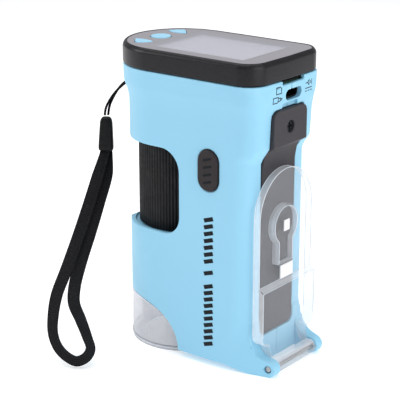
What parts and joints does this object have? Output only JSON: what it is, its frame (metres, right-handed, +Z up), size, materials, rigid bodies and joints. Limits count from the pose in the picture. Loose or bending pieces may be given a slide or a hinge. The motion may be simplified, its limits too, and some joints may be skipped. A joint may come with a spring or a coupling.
{
  "type": "kids microscope",
  "caption": "Handheld toy digital microscope with a top screen, ribbed focus drum, clear specimen hood, folding clear slide stage and wrist strap.",
  "frame": {"origin": "middle of the footprint, on the table, below the body and screen housing, leaving out the wrist strap", "axes": "+Z up from the table through the screen, +X from the round nose toward the slide stage, +Y toward the rear shell, away from the side button"},
  "size_m": [0.0898, 0.0756, 0.1125],
  "materials": {
    "blue_plastic": "satin",
    "black_plastic": "satin",
    "window": "gloss",
    "screen": "satin",
    "grip_rubber": "matte",
    "clear_plastic": "gloss",
    "white_plastic": "satin",
    "steel": "brushed",
    "board": "satin",
    "cell_wrap": "gloss",
    "webbing": "woven"
  },
  "bodies": {
    "case": {"front_shell": "blue_plastic", "rear_shell": "blue_plastic", "top_housing": "black_plastic", "display_window": "window", "lcd_module": "screen", "down_button_switch": "steel", "ok_button_switch": "steel", "up_button_switch": "steel", "key_board": "board", "main_board": "board", "usb_port": "steel", "card_slot": "steel", "mode_board": "board", "mode_switch": "steel", "guide_tube": "black_plastic", "led_board": "board", "led_1": "white_plastic", "led_2": "white_plastic", "led_3": "white_plastic", "led_4": "white_plastic", "led_5": "white_plastic", "led_6": "white_plastic", "clear_hood": "clear_plastic", "battery_tray": "black_plastic", "battery_cell": "cell_wrap", "battery_spring": "steel", "battery_contact": "steel", "battery_cover": "black_plastic", "cover_screw": "steel", "shell_screw_1": "steel", "shell_screw_2": "steel", "shell_screw_3": "steel", "shell_screw_4": "steel", "hinge_pin": "steel", "strap_post": "steel", "strap_cord": "webbing", "strap_bead": "grip_rubber", "strap_webbing": "webbing"},
    "down_key": {"down_button": "blue_plastic"},
    "ok_key": {"ok_button": "blue_plastic"},
    "up_key": {"up_button": "blue_plastic"},
    "mode_key": {"mode_button": "grip_rubber"},
    "focus_drum": {"focus_grip": "grip_rubber", "focus_cam_hub": "white_plastic"},
    "lens_carriage": {"lens_carrier": "black_plastic", "objective_lens": "clear_plastic", "camera_board": "board", "image_sensor": "black_plastic"},
    "stage": {"slide_stage": "clear_plastic", "tongue_clamp": "white_plastic"},
    "tongue": {"slide_tongue": "clear_plastic", "specimen_spot": "white_plastic"}
  },
  "joints": [
    {"name": "down_press", "type": "slide", "parent": "case", "child": "down_key", "axis": [0, 0, -1], "range_m": [0, 0.0008], "stiffness_N_per_m": 500},
    {"name": "ok_press", "type": "slide", "parent": "case", "child": "ok_key", "axis": [0, 0, -1], "range_m": [0, 0.0008], "stiffness_N_per_m": 500},
    {"name": "up_press", "type": "slide", "parent": "case", "child": "up_key", "axis": [0, 0, -1], "range_m": [0, 0.0008], "stiffness_N_per_m": 500},
    {"name": "mode_press", "type": "slide", "parent": "case", "child": "mode_key", "axis": [0, 1, 0], "range_m": [0, 0.001], "stiffness_N_per_m": 500},
    {"name": "focus_turn", "type": "hinge", "parent": "case", "child": "focus_drum", "pos_m": [-0.01494, 0, 0.062], "axis": [0, 0, 1], "range_deg": [0, 240]},
    {"name": "lens_lift", "type": "slide", "parent": "case", "child": "lens_carriage", "axis": [0, 0, 1], "range_m": [0, 0.006]},
    {"name": "stage_swing", "type": "hinge", "parent": "case", "child": "stage", "pos_m": [0.03413, 0, 0.003], "axis": [0, 1, 0], "range_deg": [0, 270]},
    {"name": "tongue_flex", "type": "hinge", "parent": "stage", "child": "tongue", "pos_m": [0.02962, 0, 0.0387], "axis": [0, -1, 0], "range_deg": [0, 2.5], "stiffness_Nm_per_rad": 0.5}
  ],
  "couplings": [
    {"joint": "lens_lift", "follows": "focus_turn", "m_per_rad": 0.0014324}
  ]
}
